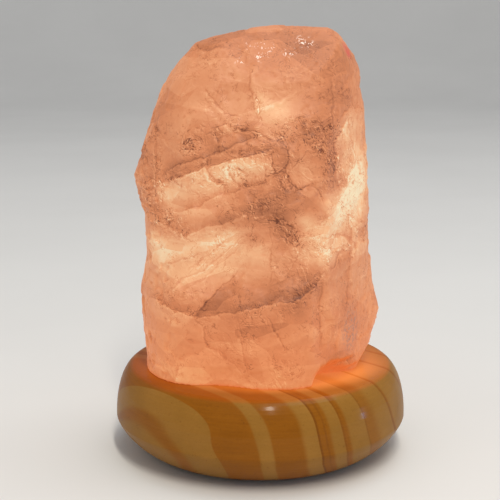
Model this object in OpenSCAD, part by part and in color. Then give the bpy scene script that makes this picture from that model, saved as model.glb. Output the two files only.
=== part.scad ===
// Table lamp: a rough block of rose quartz, drilled from below, stands over a small
// screw-in bulb on a turned pine base. Millimetres, +Z up, origin under the middle of the base
// on the surface that the rubber feet stand on. The front faces -Y and the cord inlet +Y.

/* [Wooden base] */
// Diameter of the turned pine disc at its widest
base_d = 134; // [128:1:180]
// Thickness of the disc, a planed two-inch board
base_t = 38; // [38:1:48]
// How far the rounded top edge reaches in from the side
top_round_w = 9; // [4:0.5:9.5]
// How far the rounded top edge reaches down the side
top_round_h = 23; // [10:1:23]
// How far the turned-under lower edge reaches in from the side
low_round_w = 14.5; // [8:0.5:18]
// Height of the turned-under lower edge
low_round_h = 14.5; // [10:0.5:15]
// Wood left above the wiring recess
floor_t = 18; // [14:1:20]
// Diameter of the wiring recess in the underside
recess_d = 40; // [34:1:46]

/* [Feet] */
// Diameter of each rubber foot
foot_d = 12; // [8:1:16]
// Height of each rubber foot
foot_h = 2.5; // [2:0.5:5]
// Radius of the circle that the feet stand on
foot_ring_r = 42; // [39:0.5:44]
// Chamfer round the lower edge of a foot
foot_chamfer = 0.8; // [0.4:0.1:1]

/* [Bottom cover] */
// Diameter of the fibre cover under the recess
cover_d = 60; // [56:1:64]
// Thickness of the fibre cover
cover_t = 1.5; // [1.2:0.1:2]
// How far the cover lies above the underside of the wood
cover_sunk = 0.5; // [0.2:0.1:0.8]
// Gap round the edge of the cover
cover_gap = 0.3; // [0.2:0.1:0.6]
// Number of screws in the cover
cover_screws = 3; // [3:1:4]
// Diameter of a cover screw
cover_screw_d = 3; // [2.5:0.1:3.5]
// Length of a cover screw over its head
cover_screw_l = 11; // [8:1:14]
// Diameter of the countersunk head of a cover screw
cover_head_d = 5.6; // [5.2:0.1:6.2]

/* [Cord inlet] */
// Bore of the rubber bushing that the cord would pass through
cord_bore_d = 6.5; // [5:0.1:7]
// Outer diameter of the bushing in its hole
bushing_d = 9.5; // [8.5:0.1:10.5]
// Length of the bushing in its hole
bushing_l = 12; // [8:1:18]
// Diameter of the flange of the bushing
flange_d = 13; // [12:0.5:16]
// Thickness of the flange of the bushing
flange_t = 1.6; // [1.2:0.1:2.2]
// Height of the inlet above the underside of the wood
inlet_z = 14; // [11:0.5:14]
// Depth of the flat seat of the flange, from the widest part of the base
inlet_seat = 4.5; // [3:0.1:6]

/* [Threaded tube] */
// Outer diameter of the threaded tube that holds the lampholder
tube_d = 10; // [9:0.5:12]
// Bore of the threaded tube
tube_bore = 7; // [5.5:0.5:7.5]
// How far the tube reaches past its nut
tube_past_nut = 1.5; // [0.5:0.5:3]
// Width across the flats of the tube's nut
nut_af = 14; // [14:0.5:17]
// Height of the tube's nut
nut_h = 3; // [2.5:0.5:4]
// Diameter of the washer above the nut
nut_washer_d = 22; // [18:1:28]
// Diameter of the seat washer under the lampholder
seat_washer_d = 30; // [28:1:34]
// Thickness of both washers
washer_t = 1.2; // [1:0.1:1.6]

/* [Lampholder] */
// Diameter of the cap of the lampholder
cap_d = 27; // [25:0.5:30]
// Height of the cap up to its shoulder
cap_h = 11; // [10:0.5:14]
// Diameter of the spigot that enters the outer shell
spigot_d = 24; // [23.5:0.1:24.4]
// Height of the spigot above the shoulder
spigot_h = 6; // [5:0.5:8]
// Thickness of the closed end of the cap
cap_end_t = 3; // [2:0.5:4]
// Height of the threaded boss in the cap
boss_h = 9; // [7:0.5:10]
// Diameter of the threaded boss in the cap
boss_d = 14; // [14:0.5:16]
// Diameter of the space for the wires in the cap
wire_space_d = 19; // [18:0.5:19.5]
// Diameter of the locking screw and the terminal screws
small_screw_d = 3; // [2.5:0.1:3.2]
// Diameter of the ceramic insert
insert_d = 21.6; // [21:0.1:22]
// Height of the ceramic insert
insert_h = 8; // [7:0.5:10]
// Diameter of the lower part of the outer shell
shell_d = 28; // [27.5:0.1:30]
// Height of the lower part of the outer shell
shell_low_h = 13; // [12:0.5:16]
// Diameter of the upper part of the outer shell
shell_top_d = 23; // [21:0.5:25]
// Height of the whole outer shell
shell_h = 36; // [34:0.5:40]

/* [Socket and bulb] */
// Bore of the brass screw socket
socket_bore = 14.4; // [14.2:0.1:14.6]
// Wall of the brass screw socket
socket_wall = 0.5; // [0.4:0.1:0.7]
// Length of the brass screw socket
socket_l = 21; // [18:0.5:22]
// Diameter of the bulb's screw cap over the threads
bulb_cap_d = 13.9; // [13.6:0.05:13.9]
// Pitch of the bulb's thread
bulb_pitch = 2.822; // [2.5:0.001:3]
// Turns that free the bulb from its socket
bulb_turns = 3.5; // [3:0.5:4]
// Length of the bulb from its end contact to its top
bulb_l = 57; // [54:1:62]
// Diameter of the glass
bulb_d = 28; // [24:1:30]
// Wall of the glass
glass_wall = 0.8; // [0.6:0.1:1.2]
// Thickness of the filament wire
filament_d = 0.4; // [0.3:0.1:0.6]
// Thickness of the lead wires
lead_d = 0.7; // [0.6:0.1:0.9]
// Distance between the lead wires at the filament
lead_span = 15; // [12:1:17]

/* [Rose quartz] */
// Height of the stone
stone_h = 153.5; // [146:0.5:170]
// Width of the stone against its drawn outline
stone_wide = 1; // [0.98:0.01:1.02]
// Depth of the stone against its drawn outline
stone_deep = 1; // [0.98:0.01:1.1]
// How much the broken surface swells and dips
stone_rough = 0.4; // [0:0.1:0.8]
// Free space all round the glass in the bore of the stone
bulb_air = 8; // [5:0.5:9]
// Free space above the unscrewed bulb
bulb_head_air = 10; // [6:1:12]

/* [Hidden] */
$fn = 64;

// Clearances
fit = 0.05;        // a screw, tube or bushing in its hole
eps = 0.01;        // overshoot of a cut
edge = 1;          // small chamfer on the lampholder's caps

// Heights, from the surface that the lamp stands on
base_z = foot_h;
recess_top = base_z + base_t - floor_t;
base_top = base_z + base_t;
cap_z = base_top + washer_t;
shoulder_z = cap_z + cap_h;
insert_lift = 1;   // seat of the ceramic insert above the shoulder of the cap
insert_z = shoulder_z + insert_lift;
insert_top = insert_z + insert_h;
spring_h = 2;      // height of the bent centre contact
contact_top = insert_top + spring_h;
tip_h = 1.2;
insulator_h = 2.4;
cap_low = tip_h + insulator_h;
cap_skirt = 24;    // top of the bulb's brass cap above its end contact
bulb_rise = bulb_turns * bulb_pitch;
bulb_top = contact_top + bulb_l;

// Wooden base
base_r = base_d / 2;
inlet_seat_y = base_r - inlet_seat;
hole_gap = 0.25;   // round the threaded tube in the wood and the washers

// Cover screws
cover_screw_r = (recess_d + cover_d) / 4;
cover_z = base_z + cover_sunk;

// Stone
bore_d = bulb_d + 2 * bulb_air;
bore_h = bulb_top + bulb_rise + bulb_head_air - base_top;
drawn_h = 153.5;   // height at which the outline below was drawn

// Each level of the stone: its height, then its reach from the axis in sixteen directions,
// from the right-hand side round by the back, the left-hand side and the front
levels = [
    [0,     [45, 49, 49, 43, 39, 41, 48, 52, 52, 54, 52, 43, 45, 47, 43, 45]],
    [10,    [51, 53, 50, 44, 40, 42, 49, 53, 52, 54, 53, 44, 46, 48, 47, 49]],
    [25,    [55, 55, 51, 44, 41, 43, 50, 54, 54, 55, 54, 45, 47, 48, 49, 51]],
    [38,    [52, 52, 49, 43, 41, 43, 49, 52, 53, 55, 54, 45, 47, 47, 48, 48]],
    [52,    [49.5, 50, 48, 42, 40, 42, 48, 51, 51, 53, 51, 43, 43, 44, 46, 46]],
    [70,    [49, 50, 47, 41, 38, 40, 47, 50, 52, 53, 50, 42, 42, 43, 46, 45]],
    [88,    [48, 49, 46, 40, 36, 38, 46, 51, 57, 54, 49, 42, 42, 43, 45, 45]],
    [102,   [47, 48, 45, 38, 34, 36, 43, 49, 52, 51, 46, 39, 39, 41, 44, 44]],
    [116,   [46, 47, 43, 36, 31, 33, 39, 45, 48, 47, 42, 35, 35, 37, 41, 43]],
    [128,   [44, 44, 39, 32, 27, 29, 34, 39, 43, 41, 36, 30, 30, 32, 37, 41]],
    [139,   [44, 43, 35, 27, 22, 23, 27, 31, 36, 34, 29, 24, 24, 27, 33, 39]],
    [147,   [41, 39, 30, 21, 17, 17, 19, 23, 28, 26, 21, 17, 17, 21, 28, 36]],
    [152,   [31, 28, 20, 13,  9,  7,  5,  4,  3,  4,  6,  8, 10, 14, 20, 28]]];
stone_peak = [8, -1];

// Flat faces broken off the block: the way each faces round the axis, how far it leans up, and
// its distance from the middle of the stone
breaks = [
    [268,  4, 41.5], [327,  3, 43.5], [224,  7, 49],   [270, 42, 58.5], [300, 30, 61],
    [238, 38, 61],   [100,  2, 36.5], [60,   6, 41],   [32,   0, 48],   [148,  4, 46],
    [90,  32, 50],   [135, 34, 56],   [20,  42, 73.5],   [172, 45, 71.5], [345, 24, 62]];
break_z = 75;      // height of the point that the distances above start from

// Hollows broken out of the front: x, height, half width, half height, depth, tilt in degrees
hollows = [
    [-9,  55, 36, 19, 6,    4],    // the wide shell-shaped scoop
    [-20, 85, 30,  9, 3.6, 17],    // between the two slanting ledges
    [8,   71, 15, 10, 4,   -25],   // the rough core beside the scoop
    [16,  92, 10,  9, 3.4,  0],    // shell-shaped chips under the upper ledge
    [27,  32,  5, 22, 2.5,  3],    // the upright groove above the arch
    [35,  62,  7,  8, 2,    0],    // half-moon chip in the right-hand face
    [-2, 122, 30,  9, 2,    4],    // the shallow step under the crest
    [32,   0, 10,  9, 9,    0]];   // the arch between the two front lobes

// A number read off a list that closes on itself, smoothed between its entries
function between(a, b, c, d, t) =
    b + 0.5 * t * (c - a + t * (2 * a - 5 * b + 4 * c - d + t * (3 * (b - c) + d - a)));
function round_list(v, u) =
    let (n = len(v), i = floor(u), t = u - i)
    between(v[(i + n - 1) % n], v[i % n], v[(i + 1) % n], v[(i + 2) % n], t);
function level_below(z, i = 0) =
    i >= len(levels) - 2 || z < levels[i + 1][0] ? i : level_below(z, i + 1);
function reach(a, z) =
    let (i = level_below(z), lo = levels[i], hi = levels[i + 1], u = a / 22.5,
         t = (z - lo[0]) / (hi[0] - lo[0]))
    (1 - t) * round_list(lo[1], u) + t * round_list(hi[1], u);
function broken_at(b, a, z) =
    let (facing = cos(b[1]) * cos(a - b[0]))
    facing < 0.05 ? 1000 : (b[2] - (z - break_z) * sin(b[1])) / facing;
function hollow(h, x, z) =
    let (dx = x - h[0], dz = z - h[1],
         p = (dx * cos(h[5]) + dz * sin(h[5])) / h[2],
         q = (dz * cos(h[5]) - dx * sin(h[5])) / h[3],
         d = p * p + q * q)
    d < 1 ? h[4] * (1 - d) : 0;
function hollow_sum(x, z, i = 0) =
    i == len(hollows) ? 0 : hollow(hollows[i], x, z) + hollow_sum(x, z, i + 1);
function ripple(a, z) =
    stone_rough * (sin(4 * a + 7 * z) * cos(9 * z - 3 * a + 40) + 0.6 * sin(11 * a - 5 * z)
                   * sin(31 * z + 2 * a));
function stone_point(a, z) =
    let (r = min(concat([reach(a, z)], [for (b = breaks) broken_at(b, a, z)])),
         front = max(0, -sin(a)),
         cut = front > 0 ? hollow_sum(r * cos(a), z) * min(1, 2 * front) : 0,
         q = r - cut + (z > 0 ? ripple(a, z) : 0))
    [q * cos(a) * stone_wide, q * sin(a) * stone_deep, z * stone_h / drawn_h];

stone_sides = 64;
stone_steps = 38;
top_level = levels[len(levels) - 1][0];
function stone_step(k) = top_level * (1 - pow(1 - k / stone_steps, 1.25));

module wood_profile() {
    steps = 12;
    round_in = base_r - top_round_w;
    low_in = base_r - low_round_w;
    lower = [for (i = [0 : steps]) let (a = 90 * i / steps)
             [low_in + low_round_w * pow(sin(a), 1.5),
              low_round_h * (1 - pow(cos(a), 1.5))]];
    upper = [for (i = [0 : steps]) let (a = 90 * i / steps)
             [round_in + top_round_w * cos(a), base_t - top_round_h * (1 - sin(a))]];
    polygon(concat([[0, 0]], lower, upper, [[0, base_t]]));
}

module ring(outer_d, inner_d, h) {
    difference() {
        cylinder(d = outer_d, h = h);
        translate([0, 0, -eps]) cylinder(d = inner_d, h = h + 2 * eps);
    }
}

module at_cover_screws() {
    for (i = [0 : cover_screws - 1])
        rotate([0, 0, 90 + i * 360 / cover_screws])
            translate([cover_screw_r, 0, cover_z])
                children();
}

module cover_screw(grow) {
    cylinder(d1 = cover_head_d + 2 * grow, d2 = cover_screw_d + 2 * grow, h = cover_t);
    cylinder(d = cover_screw_d + 2 * grow, h = cover_screw_l + grow);
}

module wood_base() {
    color("#B97A36")
    difference() {
        translate([0, 0, base_z]) rotate_extrude($fn = 96) wood_profile();
        translate([0, 0, base_z - eps]) cylinder(d = recess_d, h = base_t - floor_t + eps);
        translate([0, 0, base_z - eps])
            cylinder(d = cover_d + 2 * cover_gap, h = cover_sunk + cover_t + eps);
        translate([0, 0, base_z]) cylinder(d = tube_d + 2 * hole_gap, h = base_t + eps);
        at_cover_screws() cylinder(d = cover_screw_d + 2 * fit, h = cover_screw_l + fit);
        translate([0, 0, base_z + inlet_z]) rotate([-90, 0, 0]) {
            cylinder(d = bushing_d + 2 * fit, h = base_r + eps);
            translate([0, 0, inlet_seat_y]) cylinder(d = flange_d + 2 * cover_gap, h = base_r);
        }
    }
}

module foot(i) {
    color("#3A2C22")
    rotate([0, 0, 45 - 90 * i]) translate([foot_ring_r, 0, 0]) {
        cylinder(d1 = foot_d - 2 * foot_chamfer, d2 = foot_d, h = foot_chamfer);
        translate([0, 0, foot_chamfer]) cylinder(d = foot_d, h = foot_h - foot_chamfer);
    }
}

module bottom_cover() {
    color("#4A3A2C")
    difference() {
        translate([0, 0, cover_z]) cylinder(d = cover_d, h = cover_t);
        at_cover_screws() translate([0, 0, -eps]) cover_screw(fit);
    }
}

module cover_screw_set() {
    color("#B8A060") at_cover_screws() cover_screw(0);
}

module cord_bushing() {
    color("#262626")
    translate([0, 0, base_z + inlet_z]) rotate([-90, 0, 0])
    translate([0, 0, inlet_seat_y - bushing_l])
    difference() {
        union() {
            cylinder(d = bushing_d, h = bushing_l);
            translate([0, 0, bushing_l]) cylinder(d = flange_d, h = flange_t);
        }
        translate([0, 0, -eps]) cylinder(d = cord_bore_d, h = bushing_l + flange_t + 2 * eps);
    }
}

nut_z = recess_top - washer_t - nut_h;
module threaded_tube() {
    low = nut_z - tube_past_nut;
    color("#C9A24B") translate([0, 0, low]) ring(tube_d, tube_bore, cap_z + boss_h - low);
}

module tube_nut() {
    color("#C9A24B") translate([0, 0, nut_z])
    difference() {
        cylinder(d = nut_af / cos(30), h = nut_h, $fn = 6);
        translate([0, 0, -eps]) cylinder(d = tube_d + 2 * fit, h = nut_h + 2 * eps);
    }
}

module nut_washer() {
    color("#B9BBBD")
    translate([0, 0, recess_top - washer_t]) ring(nut_washer_d, tube_d + 2 * hole_gap, washer_t);
}

module seat_washer() {
    color("#B9BBBD")
    translate([0, 0, base_top]) ring(seat_washer_d, tube_d + 2 * hole_gap, washer_t);
}

lock_z = cap_z + (cap_end_t + boss_h) / 2;
lock_reach = cap_d / 2 - edge;
module holder_cap() {
    insert_room = insert_d + 2 * fit;
    color("#EDE7DA")
    difference() {
        union() {
            translate([0, 0, cap_z]) cylinder(d1 = cap_d - 2 * edge, d2 = cap_d, h = edge);
            translate([0, 0, cap_z + edge]) cylinder(d = cap_d, h = cap_h - edge);
            translate([0, 0, shoulder_z - eps]) cylinder(d = spigot_d, h = spigot_h + eps);
        }
        difference() {
            translate([0, 0, cap_z + cap_end_t])
                cylinder(d = wire_space_d, h = insert_z - cap_z - cap_end_t + eps);
            translate([0, 0, cap_z]) cylinder(d = boss_d, h = boss_h);
        }
        translate([0, 0, insert_z]) cylinder(d = insert_room, h = shell_h);
        translate([0, 0, cap_z - eps]) cylinder(d = tube_d + 2 * fit, h = boss_h + 2 * eps);
        translate([0, 0, lock_z]) rotate([0, -90, 0])
            cylinder(d = small_screw_d + 2 * fit, h = cap_d);
    }
}

module locking_screw() {
    screw_l = lock_reach - tube_d / 2 - fit;
    slot_w = 0.6;
    slot_depth = 1;
    color("#9A9C9E")
    translate([0, 0, lock_z]) rotate([0, -90, 0]) translate([0, 0, tube_d / 2 + fit])
    difference() {
        cylinder(d = small_screw_d, h = screw_l);
        translate([-small_screw_d, -slot_w / 2, screw_l - slot_depth])
            cube([2 * small_screw_d, slot_w, slot_depth + eps]);
    }
}

terminal_out = 1.4;     // terminal screws farther out than half way to the insert's edge
terminal_x = insert_d / 4 + terminal_out;
terminal_sunk = 0.5;    // end of a terminal screw below the top of the insert
rivet_d = 2;
rivet_head_d = 3.4;
rivet_foot_d = 3;
module ceramic_insert() {
    color("#F2EEE6")
    difference() {
        translate([0, 0, insert_z]) cylinder(d = insert_d, h = insert_h);
        for (s = [-1, 1]) translate([s * terminal_x, 0, insert_z - eps])
            cylinder(d = small_screw_d + 2 * fit, h = insert_h + 2 * eps);
        translate([0, 0, insert_z - eps])
            cylinder(d = rivet_d + 2 * fit, h = insert_h + 2 * eps);
    }
}

module terminal_screw_set() {
    head_h = 1.2;
    head_over = 0.5;    // head beyond the shank all round
    color("#C9A24B")
    for (s = [-1, 1]) translate([s * terminal_x, 0, insert_z]) {
        translate([0, 0, -head_h]) cylinder(d = small_screw_d + 2 * head_over, h = head_h);
        cylinder(d = small_screw_d, h = insert_h - terminal_sunk);
    }
}

// The centre contact is a bronze strip bent into a C, with its open side to the right
strip_t = 0.4;
strip_w = 4;
strip_r = 4;
strip_tip = 2.5;   // reach of the upper leaf past the axis
module centre_contact() {
    color("#C98F4A")
    difference() {
        translate([-strip_r, -strip_w / 2, insert_top]) {
            cube([strip_r + rivet_d, strip_w, strip_t]);
            cube([strip_t, strip_w, spring_h]);
            translate([0, 0, spring_h - strip_t]) cube([strip_r + strip_tip, strip_w, strip_t]);
        }
        translate([0, 0, insert_top - eps]) cylinder(d = rivet_d + 2 * fit, h = strip_t + 2 * eps);
    }
}

module contact_rivet() {
    head_h = 0.6;
    color("#C9A24B") {
        translate([0, 0, insert_z - head_h]) cylinder(d = rivet_head_d, h = head_h);
        translate([0, 0, insert_z]) cylinder(d = rivet_d, h = insert_h + strip_t);
        translate([0, 0, insert_top + strip_t]) cylinder(d = rivet_foot_d, h = head_h);
    }
}

socket_r = socket_bore / 2;
side_gap = 0.3;    // between the side contact and the wall of the socket
side_l = 1.3;      // length of the side contact
module side_contact() {
    color("#C98F4A")
    translate([socket_r - side_gap - side_l, -strip_w / 2, insert_top])
        cube([side_l, strip_w, strip_t]);
}

module screw_socket() {
    color("#D2B062")
    translate([0, 0, insert_top]) ring(socket_bore + 2 * socket_wall, socket_bore, socket_l);
}

module holder_shell() {
    low_bore = spigot_d + 2 * fit;
    liner_d = socket_bore + 2 * socket_wall + 2 * fit;
    mouth_d = liner_d + 2 * edge;
    taper_h = 2;
    color("#EDE7DA")
    translate([0, 0, shoulder_z])
    difference() {
        union() {
            cylinder(d = shell_d, h = shell_low_h);
            translate([0, 0, shell_low_h]) cylinder(d1 = shell_d, d2 = shell_top_d, h = taper_h);
            cylinder(d = shell_top_d, h = shell_h - edge);
            translate([0, 0, shell_h - edge])
                cylinder(d1 = shell_top_d, d2 = shell_top_d - 2 * edge, h = edge);
        }
        translate([0, 0, -eps]) cylinder(d = low_bore, h = spigot_h + 2 * fit + eps);
        cylinder(d = insert_d + 2 * fit, h = insert_top - shoulder_z);
        cylinder(d = liner_d, h = shell_h + eps);
        translate([0, 0, insert_top - shoulder_z + socket_l])
            cylinder(d = mouth_d, h = shell_h);
    }
}

module in_bulb() {
    translate([0, 0, contact_top]) children();
}

end_d = 4.8;
insulator_d = 9.4;
module bulb_end_contact() {
    color("#B9BBBD") in_bulb() cylinder(d1 = end_d - 0.8, d2 = end_d, h = tip_h);
}

module bulb_insulator() {
    color("#1E1E24") in_bulb() {
        translate([0, 0, tip_h]) cylinder(d1 = end_d + 0.8, d2 = insulator_d, h = insulator_h);
    }
}

skin = 0.3;
cap_r = bulb_cap_d / 2;
module bulb_screw_cap() {
    cone_h = 2.2;
    flare = 0.5;
    flare_h = 2;
    low_r = insulator_d / 2;
    outer = [[low_r, 0], [cap_r, cone_h], [cap_r, cap_skirt - cap_low - flare_h],
             [cap_r + flare, cap_skirt - cap_low]];
    inner = [for (i = [3 : -1 : 0]) [outer[i][0] - skin, max(outer[i][1], skin)]];
    color("#CFC9BC") in_bulb() translate([0, 0, cap_low])
        rotate_extrude() polygon(concat([[0, 0]], outer, inner, [[0, skin]]));
}

neck_gap = 0.1;    // cement between the cap and the neck of the glass
neck_in = 5;       // how far the neck of the glass reaches into the cap
neck_r = bulb_cap_d / 2 - skin - neck_gap;
neck_z = cap_skirt - neck_in;
belly_r = bulb_d / 2;
belly_z = bulb_l - belly_r;
function glass_outline(in) =
    let (steps = 12, r = belly_r - in, n = neck_r - in, turn = cap_skirt + 1)
    concat([for (i = [0 : steps]) let (t = i / steps, s = t * t * (3 - 2 * t))
            [n + (r - n) * s, turn + (belly_z - turn) * t]],
           [for (i = [1 : steps]) let (a = 90 * i / steps)
            [i == steps ? 0 : r * cos(a), belly_z + r * sin(a)]]);
module bulb_glass() {
    outside = glass_outline(0);
    inside = glass_outline(glass_wall);
    last = len(inside) - 1;
    back = [for (i = [last : -1 : 0]) inside[i]];
    color("#F6E3C4") in_bulb() rotate_extrude()
        polygon(concat([[neck_r - glass_wall, neck_z], [neck_r, neck_z]], outside, back));
}

stem_r = 3;
stem_over = 8;     // top of the stem above the cap
stem_rim = 1;      // height of the stem's flared foot
stem_cone = 3;     // height over which the foot narrows
stem_chamfer = 1;
stem_top = cap_skirt + stem_over;
stem_edge = neck_r - glass_wall - fit;
module bulb_stem() {
    color("#E9F0F0") in_bulb() rotate_extrude()
        polygon([[0, neck_z], [stem_edge, neck_z], [stem_edge, neck_z + stem_rim],
                 [stem_r, neck_z + stem_rim + stem_cone], [stem_r, stem_top - stem_chamfer],
                 [stem_r - stem_chamfer, stem_top], [0, stem_top]]);
}

filament_low = 2;  // ends of the filament below the widest part of the glass
filament_z = belly_z - filament_low;
lead_foot = stem_r / 2;
lead_gap = 0.2;    // keeps the slanting end of a wire clear of the stem
lead_past = 1;     // how far the lead wires reach past the filament
lead_from = [lead_foot, 0, stem_top + lead_gap];
lead_to = [lead_span / 2, 0, filament_z + lead_past];
module wire(a, b, d) {
    v = b - a;
    l = norm(v);
    translate(a) rotate([0, acos(v[2] / l), atan2(v[1], v[0])]) cylinder(d = d, h = l, $fn = 16);
}

module lead_wire_set() {
    color("#8E8E90") in_bulb() for (s = [-1, 1])
        wire([s * lead_from[0], 0, lead_from[2]], [s * lead_to[0], 0, lead_to[2]], lead_d);
}

// The filament bows up between the two slanting lead wires and ends just short of them
filament_drop = 3;
lead_run = lead_to - lead_from;
lead_x = lead_from[0] + lead_run[0] * (filament_z - lead_from[2]) / lead_run[2];
module filament() {
    half = lead_x - lead_d / 2 * norm(lead_run) / lead_run[2] - filament_d / 2 - fit;
    arc_r = (half * half + filament_drop * filament_drop) / (2 * filament_drop);
    sweep = 2 * asin(half / arc_r);
    color("#FFC873") in_bulb()
        translate([0, 0, filament_z + filament_drop - arc_r])
        rotate([90, 0, 0]) rotate([0, 0, 90 - sweep / 2])
        rotate_extrude(angle = sweep) translate([arc_r, 0]) circle(d = filament_d, $fn = 16);
}

support_d = 0.4;
support_x = 0.8;
support_gap = 0.15;    // below the bowed filament
module filament_support_set() {
    top = filament_z + filament_drop - filament_d / 2 - support_gap;
    color("#8E8E90") in_bulb()
        for (s = [-1, 1]) wire([s * support_x, 0, stem_top], [s * support_x, 0, top], support_d);
}

module rose_quartz_stone() {
    rows = [for (k = [0 : stone_steps]) let (z = stone_step(k))
            for (i = [0 : stone_sides - 1]) stone_point(i * 360 / stone_sides, z)];
    count = len(rows);
    points = concat(rows, [[0, 0, 0], [stone_peak[0], stone_peak[1], stone_h]]);
    next = function(i) (i + 1) % stone_sides;
    walls = [for (k = [0 : stone_steps - 1]) for (i = [0 : stone_sides - 1])
             let (a = k * stone_sides + i, b = k * stone_sides + next(i),
                  c = b + stone_sides, d = a + stone_sides)
             for (f = [[a, c, b], [a, d, c]]) f];
    crown = stone_steps * stone_sides;
    ends = [for (i = [0 : stone_sides - 1])
            for (f = [[i, next(i), count], [crown + next(i), crown + i, count + 1]]) f];
    color("#F0A98E")
    difference() {
        translate([0, 0, base_top]) polyhedron(points = points, faces = concat(walls, ends));
        translate([0, 0, base_top - 1]) cylinder(d = bore_d, h = bore_h + 1);
    }
}

wood_base();
foot(1);  // foot_front_right
foot(0);  // foot_back_right
foot(3);  // foot_back_left
foot(2);  // foot_front_left
bottom_cover();
cover_screw_set();  // cover_screws
cord_bushing();
threaded_tube();
tube_nut();
nut_washer();
seat_washer();
holder_cap();
locking_screw();
ceramic_insert();
holder_shell();
screw_socket();
centre_contact();
side_contact();
contact_rivet();
terminal_screw_set();  // terminal_screws
bulb_end_contact();
bulb_insulator();
bulb_screw_cap();
bulb_glass();
bulb_stem();
lead_wire_set();  // lead_wires
filament();
filament_support_set();  // filament_supports
rose_quartz_stone();
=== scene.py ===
# Table lamp of rose quartz on a turned pine base, dressed and lit as in the photograph.
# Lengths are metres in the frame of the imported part. Sizes of patterns and places on the stone
# are given in millimetres and turned into metres where they are used.
import math

import bpy
import numpy as np
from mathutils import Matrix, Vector, kdtree, noise


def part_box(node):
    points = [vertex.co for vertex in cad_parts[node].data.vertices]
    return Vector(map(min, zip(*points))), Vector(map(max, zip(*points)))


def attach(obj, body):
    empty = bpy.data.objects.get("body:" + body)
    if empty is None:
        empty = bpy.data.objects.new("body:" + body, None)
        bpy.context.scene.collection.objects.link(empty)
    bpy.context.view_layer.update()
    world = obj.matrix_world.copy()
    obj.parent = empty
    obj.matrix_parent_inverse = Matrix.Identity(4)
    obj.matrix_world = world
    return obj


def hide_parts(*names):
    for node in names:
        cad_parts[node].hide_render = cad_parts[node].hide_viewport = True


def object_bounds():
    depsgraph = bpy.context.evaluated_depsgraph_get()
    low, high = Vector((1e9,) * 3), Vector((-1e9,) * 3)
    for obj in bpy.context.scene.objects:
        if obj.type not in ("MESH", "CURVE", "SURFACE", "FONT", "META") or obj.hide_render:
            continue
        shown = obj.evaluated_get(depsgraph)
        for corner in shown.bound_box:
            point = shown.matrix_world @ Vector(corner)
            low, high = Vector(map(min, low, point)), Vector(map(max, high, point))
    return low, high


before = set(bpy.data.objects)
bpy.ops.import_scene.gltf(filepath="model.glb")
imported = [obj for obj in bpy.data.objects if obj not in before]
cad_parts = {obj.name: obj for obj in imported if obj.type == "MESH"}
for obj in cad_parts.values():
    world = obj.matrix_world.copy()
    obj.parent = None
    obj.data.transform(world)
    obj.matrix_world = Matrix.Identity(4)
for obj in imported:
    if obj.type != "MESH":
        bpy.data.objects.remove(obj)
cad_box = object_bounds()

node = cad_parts
MM = 0.001


# Rubber feet
# Four brown rubber pads, moulded with a small chamfer and glued under the wood. What shows of
# them is matt, a little dusty, and paler where the table rubs the edge.

class Wire:
    """One output of a shader node. Sums on it add the nodes that work them out."""

    def __init__(self, tree, socket=None):
        self.tree, self.socket = tree, socket

    def node(self, kind, output=0, settings=None, inputs=None):
        """One output of a new node of this type, with these settings and socket values."""
        made = self.tree.nodes.new("ShaderNode" + kind)
        for name, value in (settings or {}).items():
            if name == "stops":
                ramp = made.color_ramp
                while len(ramp.elements) < len(value):
                    ramp.elements.new(0.5)
                for element, (place, colour) in zip(ramp.elements, value):
                    element.position, element.color = place, (*colour, 1)
            else:
                setattr(made, name, value)
        for name, value in (inputs or {}).items():
            if isinstance(value, Wire):
                self.tree.links.new(value.socket, made.inputs[name])
            else:
                made.inputs[name].default_value = value
        return Wire(self.tree, made.outputs[output])

    def sum(self, operation, *terms):
        """A Math node on these terms."""
        return self.node("Math", 0, {"operation": operation}, dict(enumerate(terms)))

    def __abs__(self):
        return self.sum("ABSOLUTE", self)

    def __add__(self, other):
        return self.sum("ADD", self, other)

    def __sub__(self, other):
        return self.sum("SUBTRACT", self, other)

    def __rsub__(self, other):
        return self.sum("SUBTRACT", other, self)

    def __mul__(self, other):
        return self.sum("MULTIPLY", self, other)

    def __truediv__(self, other):
        return self.sum("DIVIDE", self, other)

    def __pow__(self, other):
        return self.sum("POWER", self, other)

    __radd__, __rmul__ = __add__, __mul__

    def axes(self):
        """The three coordinates of this place."""
        parts = self.node("SeparateXYZ", 0, None, {0: self}).socket.node
        return [Wire(self.tree, parts.outputs[i]) for i in range(3)]

    def step(self, low, high):
        """0 below low, 1 above high, and smooth between."""
        return self.node("MapRange", 0, {"interpolation_type": "SMOOTHSTEP"},
                         {"Value": self, "From Min": low, "From Max": high})

    def ramp(self, *stops):
        return self.node("ValToRGB", 0, {"stops": stops}, {0: self})

    def mix(self, first, second):
        """The first colour where this wire is 0, the second where it is 1."""
        return self.node("Mix", 2, {"data_type": "RGBA"}, {0: self, 6: first, 7: second})

    def tint(self, colour):
        """This colour times another."""
        return self.node("Mix", 2, {"data_type": "RGBA", "blend_type": "MULTIPLY"},
                         {0: 1.0, 6: self, 7: colour})

    def mapped(self, **change):
        """This place after a Mapping node has shifted, turned or stretched it."""
        return self.node("Mapping", 0, None, {"Vector": self, **change})

    def grain(self, size, detail=3.0, rough=0.55, warp=0.0, stretch=(1, 1, 1)):
        """Noise over this place, with lumps of that size in millimetres."""
        at = self.mapped(Scale=stretch)
        return at.node("TexNoise", 0, None,
                       {"Vector": at, "Scale": 1 / (size * MM), "Detail": detail,
                        "Roughness": rough, "Distortion": warp})

    def bump(self, height, under=None):
        """The normal of a surface with this relief, which is that many millimetres high."""
        inputs = {"Height": self, "Distance": height * MM}
        if under:
            inputs["Normal"] = under
        return self.node("Bump", 0, None, inputs)


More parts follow.
